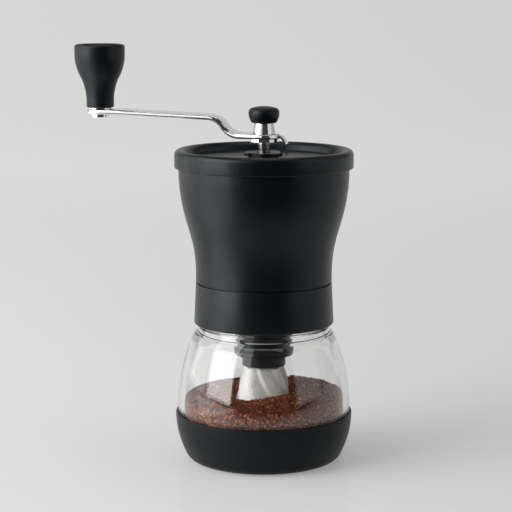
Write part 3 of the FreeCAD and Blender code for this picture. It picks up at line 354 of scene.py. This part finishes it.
def rubber(name):
    """Soft silicone with a dusty bloom."""
    dark, pale = (0.0085, 0.0095, 0.0105), (0.0105, 0.0115, 0.0125)
    # Reflections tinted cool: painted colour of cool light
    finish = Finish(name, (0.008, 0.008, 0.0085), 0.5, Specular_IOR_Level=0.14, Specular_Tint=PAINTED_COOL_LIGHT_TINT)
    bloom, gloss = finish.noise(6.0, 5.0), finish.noise(1.5, 4.0)
    finish.feed("Base Color", finish.ramp(bloom, (0.35, dark), (0.7, pale)))
    finish.feed("Roughness", finish.span(gloss, 0.35, 0.43))
    finish.bump(finish.noise(0.3, 2.0), 0.02, 0.5)
    return finish.material


def metal(name, color, rough, grain_mm, stretch=None, metallic=1.0, relief_mm=0.004):
    """Bright metal with fine handling marks; a blasted one is less metallic."""
    finish = Finish(name, color, rough, Metallic=metallic)
    marks = finish.noise(grain_mm, 4.0, stretch)
    finish.feed("Roughness", finish.span(marks, rough * 0.7, rough * 1.4))
    finish.bump(finish.noise(grain_mm * 0.5, 2.0, stretch), relief_mm, 0.4)
    return finish.material


def glass(name):
    """Clear moulded glass with a slight waviness."""
    finish = Finish(name, (0.98, 0.985, 0.981), 0.0, Transmission_Weight=1.0, IOR=1.54)
    finish.bump(finish.noise(16.0, 1.0), 0.05, 0.25)
    return finish.material


def coffee(name):
    """Roasted coffee: every grain has its own brown, with dark cracks between and a few oily glints."""
    finish = Finish(name, (0.1, 0.04, 0.02), 0.5, Specular_IOR_Level=0.2)
    grain = finish.tree.nodes.new("ShaderNodeTexVoronoi")
    grain.inputs["Scale"].default_value = 1.0 / (GRAIN_CELL * MM)
    finish.join(finish.place, grain.inputs["Vector"])
    tint = finish.tree.nodes.new("ShaderNodeSeparateColor")
    finish.join(grain.outputs["Color"], tint.inputs["Color"])
    browns = ((0.0, (0.055, 0.009, 0.001)), (0.45, (0.21, 0.038, 0.006)),
              (0.8, (0.38, 0.085, 0.014)), (1.0, (0.78, 0.33, 0.11)))
    finish.feed("Base Color", finish.ramp(tint.outputs["Red"], *browns))
    finish.feed("Roughness", finish.span(tint.outputs["Green"], 0.36, 0.62))
    finish.bump(grain.outputs["Distance"], 0.5, 0.9, invert=True)
    return finish.material


MATTE = plastic("matte_black", (0.0018, 0.0021, 0.0025), (0.003, 0.0034, 0.004), 0.33, 0.4, 0.006)
CARRIER = plastic("carrier_black", (0.004, 0.004, 0.0045), (0.007, 0.007, 0.0075), 0.36, 0.3, 0.008)
BOSS = plastic("boss_black", (0.002, 0.002, 0.0022), (0.003, 0.003, 0.0033), 0.4, 0.3, 0.008)
KNOB = plastic("knob_black", (0.0018, 0.002, 0.0023), (0.003, 0.0033, 0.0037), 0.4, 0.3, 0.008)
RUBBER = rubber("soft_black")
CHROME = metal("bright_steel", (0.75, 0.75, 0.755), 0.1, 3.0)
STEEL = metal("machined_steel", (0.66, 0.65, 0.63), 0.16, 1.0, (1.0, 1.0, 12.0))
BURR = metal("burr_steel", (0.97, 0.95, 0.91), 0.3, 5.0, metallic=0.12, relief_mm=0.0)
BRONZE = metal("bush_bronze", (0.55, 0.36, 0.16), 0.38, 0.5)
GLASS = glass("clear_glass")
COFFEE = coffee("ground_coffee")
FINISHES = {
    "clear_glass": GLASS, "soft_black": RUBBER, "ground_coffee": COFFEE, "seal_rubber": RUBBER,
    "matte_black": MATTE, "carrier_black": CARRIER, "boss_black": BOSS, "knob_black": KNOB,
    "bright_steel": CHROME, "machined_steel": STEEL, "spring_steel": STEEL, "burr_steel": BURR,
    "bush_bronze": BRONZE,
}


def finish_nodes():
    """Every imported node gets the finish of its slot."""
    for part in RECORD["subparts"]:
        node = NODES[part["node"]]
        node.data.materials.clear()
        node.data.materials.append(FINISHES[part["material_slot"]])
        node.data.shade_smooth()
        node.data.set_sharp_from_angle(angle=SHARP)


# Pieces

def make_jar():
    """Glass jar: widest above the boot, drawn in to a neck."""
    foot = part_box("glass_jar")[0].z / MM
    section = outline(
        # Outside, from the middle of the foot up to the neck
        (0.0, foot), (33.0, foot, 0, 8.0), (40.0, foot + 4.1, 0, 45.2), (45.0, 26.0, 0, 107.0),
        (38.58, 62.5, 0, 24.0), (35.0, 69.0, 0, -6.0), (33.4, 72.5),
        # Mouth
        (33.4, NECK_TOP, 0.8), (30.4, NECK_TOP, 0.8),
        # Inside, with two small beads under the neck
        (30.4, 73.6), (30.9, 70.6, 0.3), (30.5, 69.9, 0.4), (31.5, 68.9, 0.4), (32.45, 66.9, 0.3),
        (32.3, 66.3, 0.4), (33.5, 65.2, 0.5, -21.0), (35.58, 62.5, 0, -104.0),
        (42.0, 26.0, 0, -42.2), (37.0, foot + 7.1, 0, -8.0), (30.0, foot + 4.6), (0.0, foot + 4.6))
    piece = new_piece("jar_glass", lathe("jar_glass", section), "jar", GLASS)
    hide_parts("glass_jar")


def make_boot():
    """Soft boot round the jar's foot."""
    section = outline(
        # Underside and outside
        (0.0, 0.0), (35.5, 0.0, 0, 6.5), (41.4, 4.5, 0, 47.0), (46.2, BOOT_TOP, 0.45),
        # Inside, along the jar
        (45.1, BOOT_TOP, 0.3, -45.3), (40.1, 6.0, 0, -8.1), (33.1, 1.9), (0.0, 1.9))
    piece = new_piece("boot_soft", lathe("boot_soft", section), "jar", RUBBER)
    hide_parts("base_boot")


def make_collar():
    """Screw collar with a shadow groove where it meets the hopper."""
    groove, web = SEAM - 0.8, SEAM - 3.1
    section = outline(
        (34.0, COLLAR_BOTTOM, 0.4), (36.45, COLLAR_BOTTOM, 1.4), (35.42, groove, 0.3), (34.4, groove),
        (34.4, SEAM), (22.0, SEAM), (22.0, web), (34.0, web))
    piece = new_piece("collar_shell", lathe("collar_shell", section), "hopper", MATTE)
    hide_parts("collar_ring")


def make_lid():
    """Lid with its raised round band."""
    floor = 158.5
    under, seat = floor - 2.0, HOPPER_TOP + 0.2
    section = outline(
        # Underside, over the hopper's rim and down to the skirt
        (7.0, under), (41.35, under), (41.35, seat), (44.55, seat), (44.55, LID_BOTTOM, 0.3),
        # Round band and the sunk disc
        (46.3, LID_BOTTOM, 0.9), (46.3, LID_TOP - 2.7, 0, 2.7), (43.6, LID_TOP, 0, 4.0),
        (40.4, LID_TOP - 1.9, 0.5), (39.0, floor, 0.8), (7.0, floor))
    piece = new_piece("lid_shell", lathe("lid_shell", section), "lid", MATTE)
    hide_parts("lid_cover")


def make_knob():
    """Flared knob with a dished top."""
    foot = KNOB_BOTTOM
    ledge = foot + 21.8
    section = outline(
        # Foot and flared outside
        (3.1, foot), (6.6, foot, 0, 0.8), (7.2, foot + 0.7), (7.2, foot + 3.0, 0, -29.0),
        (9.7, foot + 15.0, 0, 25.0), (13.15, foot + 27.5), (13.15, KNOB_TOP - 1.6, 0, 1.6),
        # Dished top and the bore for the pin and plug
        (11.55, KNOB_TOP, 0, -16.0), (5.3, KNOB_TOP - 3.0, 0.2), (5.3, ledge), (3.1, ledge))
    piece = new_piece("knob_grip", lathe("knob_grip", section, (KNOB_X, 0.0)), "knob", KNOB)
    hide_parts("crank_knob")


def make_cap():
    """Mushroom cap on the crank's hub."""
    socket, socket_top = 3.45, CAP_BOTTOM + 6.0
    section = outline(
        (socket, CAP_BOTTOM), (6.3, CAP_BOTTOM, 0, 8.0), (8.0, CAP_BOTTOM + 4.9, 0, 2.7),
        (6.6, CAP_TOP - 1.0, 0, 22.28), (0.0, CAP_TOP), (0.0, socket_top), (socket, socket_top))
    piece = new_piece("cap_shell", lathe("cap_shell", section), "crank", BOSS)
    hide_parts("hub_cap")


def arm_half_width(across, inset):
    """Half the arm's width at a place along it, less an inset: round ends and a waist at the bend."""
    hub, waist, end = ARM_HUB - inset, ARM_WAIST - inset, ARM_END - inset
    if across >= 0.0:
        return math.sqrt(max(hub ** 2 - across ** 2, 0.0))
    if across >= ARM_WAIST_PLACE:
        return hub + (waist - hub) * across / ARM_WAIST_PLACE
    if across >= KNOB_X:
        return waist + (end - waist) * (across - ARM_WAIST_PLACE) / (KNOB_X - ARM_WAIST_PLACE)
    return math.sqrt(max(end ** 2 - (across - KNOB_X) ** 2, 0.0))


def arm_line(inset):
    """Places and slopes along the middle of the bar: hub, S bend, slow rise and the pad under the knob."""
    end_steps, flat_steps, bend_steps, rise_steps, pad_steps = 12, 4, 16, 8, 3
    hub, tip = ARM_HUB - inset, KNOB_X - ARM_END + inset
    low, high = ARM_BOTTOM + ARM_THICK / 2, ARM_END_TOP - ARM_THICK / 2
    bent = low + BEND_RISE
    bend_end, pad = BEND_START - BEND_RUN, KNOB_X + PAD_REACH
    turn = 2 * math.atan(BEND_RISE / BEND_RUN)
    curve = BEND_RUN / 2 / math.sin(turn)
    slope = math.atan2(high - low - BEND_RISE, bend_end - pad)
    quarters = [math.pi / 2 * i / end_steps for i in range(end_steps + 1)]
    turns = [turn * i / bend_steps for i in range(bend_steps + 1)]
    line = [(hub * math.cos(angle), low, 0.0) for angle in quarters]
    line += [(BEND_START * i / flat_steps, low, 0.0) for i in range(1, flat_steps)]
    line += [(BEND_START - curve * math.sin(angle), low + curve * (1 - math.cos(angle)), angle)
             for angle in turns]
    line += [(bend_end + curve * math.sin(angle), bent - curve * (1 - math.cos(angle)), angle)
             for angle in turns[-2:0:-1]]
    line += [(bend_end + (pad - bend_end) * i / rise_steps, bent + (high - bent) * i / rise_steps, slope)
             for i in range(rise_steps)]
    line += [(pad + (KNOB_X - pad) * i / pad_steps, high, 0.0) for i in range(pad_steps + 1)]
    line += [(KNOB_X + (tip - KNOB_X) * math.sin(angle), high, 0.0) for angle in quarters[1:]]
    return line


def make_arm():
    """Bent flat bar with drafted sides and rounded edges, built from nested outlines of the bar."""
    half_thick = ARM_THICK / 2
    # Inset and lift of each outline: rounded lower edge, drafted side, rounded upper edge
    sides = ((0.9, -half_thick), (0.35, 0.12 - half_thick), (0.08, 0.4 - half_thick),
             (0.0, 0.7 - half_thick), (0.2, 0.1), (0.4, half_thick - 0.5),
             (0.55, half_thick - 0.3), (0.85, half_thick - 0.1), (1.3, half_thick))
    mesh = bpy.data.meshes.new("arm_bar")
    form = bmesh.new()
    loops = []
    for inset, lift in sides:
        loop = []
        for across, up, angle in arm_line(inset):
            half = arm_half_width(across, inset)
            place = Vector((across + lift * math.sin(angle), 0.0, up + lift * math.cos(angle)))
            loop.append([form.verts.new((place + Vector((0.0, side, 0.0))) * MM)
                         for side in ((0.0,) if half < 0.01 else (-half, half))])
        loops.append(loop)
    for loop, above in zip(loops, loops[1:]):
        for first, second, third, fourth in zip(loop, loop[1:], above[1:], above):
            for side in (0, -1):
                form.faces.new((first[side], second[side], third[side], fourth[side]))
    for loop in (loops[0], loops[-1]):
        for first, second in zip(loop, loop[1:]):
            form.faces.new(dict.fromkeys((*first, *reversed(second))))
    bmesh.ops.recalc_face_normals(form, faces=form.faces)
    form.to_mesh(mesh)
    form.free()
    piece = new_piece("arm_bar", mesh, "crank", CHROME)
    low, high, segments = ARM_BOTTOM - 5.0, KNOB_TOP, 48
    for place, radius in ((0.0, SHAFT_HOLE), (KNOB_X, PIN_HOLE)):
        drill = outline((0.0, low), (radius, low), (radius, high), (0.0, high))
        cut_away(piece, lathe("hole", drill, (place, 0.0), segments))
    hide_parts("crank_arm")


def flute_depth(angle, height, bottom):
    """Depth of a skirt flute in mm: it falls slowly from a cutting edge and rises steeply to the next."""
    turned = math.degrees(angle) - FLUTE_TWIST * (height - bottom) / (SKIRT_TOP - bottom)
    way = turned / 360 * FLUTE_COUNT % 1.0
    return FLUTE_DEPTH * min(way / FLUTE_SLOW_SHARE, (1 - way) / (1 - FLUTE_SLOW_SHARE))


def crusher_depth(angle, height, radius):
    """Depth in mm of the V grooves that draw beans down the upper cone."""
    if height < CRUSHER_BOTTOM:
        return 0.0
    offset = (math.degrees(angle) - CRUSHER_LEAN * (height - CRUSHER_BOTTOM)) % CRUSHER_PITCH
    offset = min(offset, CRUSHER_PITCH - offset)
    depth = CRUSHER_DEPTH * max(0.0, 1 - radius * math.radians(offset) / CRUSHER_HALF_WIDTH)
    return min(depth, radius - BURR_BORE - CRUSHER_LEAST_WALL)


def even_points(start, end, rows):
    """Points spaced evenly along a line of a half section."""
    return [Vector((start[0] + (end[0] - start[0]) * i / rows, start[1] + (end[1] - start[1]) * i / rows))
            for i in range(rows + 1)]


def make_burr():
    """Conical burr: broad helical flutes round its skirt, a neck and a grooved cone above."""
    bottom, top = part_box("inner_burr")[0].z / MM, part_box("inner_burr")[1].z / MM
    skirt_rows, cone_rows, touch = 40, 24, 0.01
    section = even_points((BURR_FOOT, bottom), (SKIRT_RADIUS, SKIRT_TOP), skirt_rows)
    section.append(Vector((BURR_NECK_RADIUS, SKIRT_TOP)))
    section += even_points((BURR_NECK_RADIUS, BURR_NECK_TOP), (BURR_TIP_RADIUS, top), cone_rows)
    section += [Vector((BURR_BORE, top)), Vector((BURR_BORE, bottom))]
    mesh = lathe("burr_cone", section, segments=BURR_SEGMENTS)
    for vertex in mesh.vertices:
        radius, height = vertex.co.xy.length / MM, vertex.co.z / MM
        angle = math.atan2(vertex.co.y, vertex.co.x)
        depth = 0.0
        if radius > SKIRT_RADIUS - touch:
            depth = flute_depth(angle, height, bottom)
        elif radius > BURR_BORE + touch:
            depth = crusher_depth(angle, height, radius)
        vertex.co.xy *= 1 - depth / radius
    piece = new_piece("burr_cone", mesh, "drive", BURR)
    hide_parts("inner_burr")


def grounds_level(x, y):
    """Height of the coffee in mm: banked up in front of the burr and to its right, with a loose surface."""
    right, near = camera_side(x, y)
    bank_height, bank_spread, bank_right, bank_near, tilt = 2.4, 9.0, 13.0, 15.0, 0.05
    away = (right - bank_right) ** 2 + (near - bank_near) ** 2
    bank = bank_height * math.exp(-away / (2 * bank_spread ** 2))
    loose = 0.9 * noise.noise(Vector((right, near, 0.0)) / 11.0)
    loose += 0.3 * noise.noise(Vector((right, near, 5.0)) / 2.0)
    return GROUNDS_TOP - 0.5 + tilt * right + bank + loose


def grain_form():
    """Points and faces of one rough grain of unit size."""
    form = bmesh.new()
    bmesh.ops.create_icosphere(form, subdivisions=1, radius=1.0)
    form.verts.index_update()
    points = [vertex.co.copy() for vertex in form.verts]
    faces = [tuple(vertex.index for vertex in face.verts) for face in form.faces]
    form.free()
    return points, faces


def make_grounds():
    """Ground coffee: a banked heap with loose grains on it and a pit where the burr stands."""
    floor = GROUNDS_BOTTOM + 0.05
    section = outline(
        (0.0, floor), (29.8, floor, 0, 8.0), (36.8, floor + 2.4, 0, 42.1), (41.8, 26.0, 0, 103.9),
        (HEAP_RADIUS, GROUNDS_TOP))
    section += even_points((HEAP_RADIUS, GROUNDS_TOP), (PIT_RADIUS, GROUNDS_TOP), HEAP_ROWS)[1:]
    section += outline((PIT_RADIUS, PIT_FLOOR), (0.0, PIT_FLOOR))
    mesh = lathe("coffee_heap", section, segments=HEAP_SEGMENTS)
    for vertex in mesh.vertices:
        if vertex.co.z / MM > GROUNDS_TOP - 0.01:
            vertex.co.z = grounds_level(vertex.co.x / MM, vertex.co.y / MM) * MM
    points = [vertex.co.copy() for vertex in mesh.vertices]
    faces = [tuple(face.vertices) for face in mesh.polygons]
    lump_points, lump_faces = grain_form()
    chance = random.Random(GRAIN_SEED)
    full_turn, wall_gap = 2 * math.pi, 0.2
    for _ in range(GRAIN_COUNT):
        turn = chance.uniform(0.0, full_turn)
        size = chance.uniform(*GRAIN_SIZES)
        nearest, farthest = PIT_RADIUS + size, HEAP_RADIUS - size - wall_gap
        reach = math.sqrt(chance.uniform(nearest ** 2, farthest ** 2))
        x, y = reach * math.cos(turn), reach * math.sin(turn)
        up = grounds_level(x, y) + size * chance.uniform(*GRAIN_LIFTS)
        shape = Matrix.Diagonal([size * MM * chance.uniform(least, 1.0) for least in GRAIN_LEAST_SIDES])
        spin = Matrix.Rotation(chance.uniform(0.0, full_turn), 3,
                               Vector((chance.random(), chance.random(), 0.5)))
        first = len(points)
        points += [Vector((x, y, up)) * MM + spin @ shape @ point for point in lump_points]
        faces += [tuple(first + index for index in face) for face in lump_faces]
    mesh.clear_geometry()
    mesh.from_pydata(points, [], faces)
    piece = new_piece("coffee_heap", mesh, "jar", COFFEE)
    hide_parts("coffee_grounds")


# Stage, camera and light

def toward_camera(right, near, up):
    """A place given from the camera's side: to its right, towards it and up, in metres."""
    return Vector((*camera_side(right, near), up))


def make_camera():
    """The photograph's camera."""
    data = bpy.data.cameras.new("camera")
    data.lens = CAMERA_LENS
    data.sensor_width = SENSOR
    camera = bpy.data.objects.new("camera", data)
    camera.location = toward_camera(CAMERA_SIDE, CAMERA_DISTANCE, CAMERA_HEIGHT)
    camera.rotation_euler = (math.pi / 2 - CAMERA_PITCH, 0.0, CAMERA_AZIMUTH)
    bpy.context.scene.collection.objects.link(camera)
    bpy.context.scene.camera = camera


def make_paper():
    """Pale sweep paper with a glow of its own, on which shadows fall; the glow weakens to the right as
    painted fall-off of the left lamps' light, and in front, towards the camera, the paper is darkened with
    painted shade that keeps it dark in reflections.
    """
    material = bpy.data.materials.new("sweep_paper")
    material.use_nodes = True
    tree = material.node_tree
    tree.nodes.clear()
    nodes = {name: tree.nodes.new(f"ShaderNode{kind}") for name, kind in (
        ("output", "OutputMaterial"), ("lit", "BsdfDiffuse"), ("sheen", "BsdfGlossy"),
        ("mix", "MixShader"), ("sum", "AddShader"), ("glow", "Emission"), ("path", "LightPath"),
        ("seen", "Math"), ("level", "Math"), ("albedo", "Math"), ("shaded", "Math"), ("uneven", "Math"),
        ("place", "TexCoord"), ("axes", "SeparateXYZ"),
        ("depth", "MapRange"), ("front_shade", "MapRange"), ("side", "MapRange"))}
    nodes["sheen"].inputs["Roughness"].default_value = PAPER_SHEEN_ROUGHNESS
    nodes["mix"].inputs["Fac"].default_value = PAPER_SHEEN
    nodes["glow"].inputs["Color"].default_value = (*PAPER_TINT, 1.0)
    nodes["seen"].operation = "SUBTRACT"
    nodes["seen"].inputs[0].default_value = 1.0
    for name in ("level", "albedo", "shaded", "uneven"):
        nodes[name].operation = "MULTIPLY"
    nodes["albedo"].inputs[1].default_value = PAPER_ALBEDO
    nodes["depth"].interpolation_type = "SMOOTHSTEP"
    ranges = {"depth": PAPER_DEPTH_RANGE, "front_shade": PAPER_FRONT_SHADE_RANGE, "side": PAPER_PAINTED_FALLOFF_RANGE}
    for name, levels in ranges.items():
        for key, level in zip(("From Min", "From Max", "To Min", "To Max"), levels):
            nodes[name].inputs[key].default_value = level
    # The side range paints a fall-off of light from left to right into the glow
    for source, output, target, socket in (
            ("place", "Object", "axes", "Vector"), ("axes", "Y", "depth", "Value"),
            ("axes", "Y", "front_shade", "Value"), ("axes", "X", "side", "Value"),
            ("side", "Result", "uneven", 0), ("depth", "Result", "uneven", 1),
            # Front shade darkens the albedo and the glow in front: painted shade
            ("front_shade", "Result", "albedo", 0), ("albedo", 0, "lit", "Color"),
            ("path", "Is Diffuse Ray", "seen", 1), ("seen", 0, "level", 0), ("uneven", 0, "level", 1),
            ("level", 0, "shaded", 0), ("front_shade", "Result", "shaded", 1), ("shaded", 0, "glow", "Strength"),
            ("lit", 0, "mix", 1), ("sheen", 0, "mix", 2), ("mix", 0, "sum", 0), ("glow", 0, "sum", 1),
            ("sum", 0, "output", "Surface")):
        tree.links.new(nodes[source].outputs[output], nodes[target].inputs[socket])
    return material


def make_stage():
    """Seamless pale sweep under and behind the object."""
    mesh = bpy.data.meshes.new("sweep")
    form = bmesh.new()
    half, front, back, curve, top, steps = 3.0, 0.5, 1.7, 2.5, 3.2, 48
    angles = [math.pi / 2 * i / steps for i in range(1, steps + 1)]
    path = [(-front, 0.0), (back, 0.0)]
    path += [(back + curve * math.sin(angle), curve * (1 - math.cos(angle))) for angle in angles]
    path.append((back + curve, top))
    rows = [[form.verts.new((side, far, up)) for side in (-half, half)] for far, up in path]
    for row, following in zip(rows, rows[1:]):
        form.faces.new((row[0], row[1], following[1], following[0]))
    form.to_mesh(mesh)
    form.free()
    mesh.shade_smooth()
    sweep = bpy.data.objects.new("sweep", mesh)
    sweep.rotation_euler = (0.0, 0.0, CAMERA_AZIMUTH)
    bpy.context.scene.collection.objects.link(sweep)
    mesh.materials.append(make_paper())


def make_lamp(name, place, target, size, radiance):
    """A soft rectangular lamp aimed at a target."""
    data = bpy.data.lights.new(name, "AREA")
    data.shape = "RECTANGLE"
    data.size, data.size_y = size
    data.energy = radiance * math.pi * size[0] * size[1]
    lamp = bpy.data.objects.new(name, data)
    lamp.location = place
    lamp.rotation_euler = (Vector(target) - place).to_track_quat("-Z", "Y").to_euler()
    bpy.context.scene.collection.objects.link(lamp)
    return lamp


def make_softbox(name, bearing, pitch, away, size, radiance):
    """A soft box that faces the object; the bearing is measured from the camera's direction."""
    angle, rise = math.radians(bearing), math.radians(pitch)
    flat = away * math.cos(rise)
    place = toward_camera(flat * math.sin(angle), flat * math.cos(angle), LIGHT_AIM + away * math.sin(rise))
    make_lamp(name, place, (0.0, 0.0, LIGHT_AIM), size, radiance)


def make_light():
    """Soft boxes with a dark gap towards the camera, a panel on the floor and a dim room."""
    for softbox in SOFTBOXES:
        make_softbox(*softbox)
    place = toward_camera(*FLOOR_PANEL_PLACE)
    floor_panel = make_lamp("floor_panel", place, place + Vector((0.0, 0.0, 1.0)),
                            FLOOR_PANEL_SIZE, FLOOR_PANEL_RADIANCE)
    floor_panel.visible_transmission = False
    world = bpy.data.worlds.new("room")
    world.use_nodes = True
    room = world.node_tree.nodes["Background"]
    room.inputs["Color"].default_value = (1.0, 1.0, 1.0, 1.0)
    room.inputs["Strength"].default_value = ROOM_LEVEL
    bpy.context.scene.world = world


finish_nodes()
make_jar()
make_boot()
make_collar()
make_lid()
make_knob()
make_cap()
make_arm()
make_burr()
make_grounds()
make_stage()
make_camera()
make_light()
bpy.context.scene.view_settings.view_transform = "Standard"
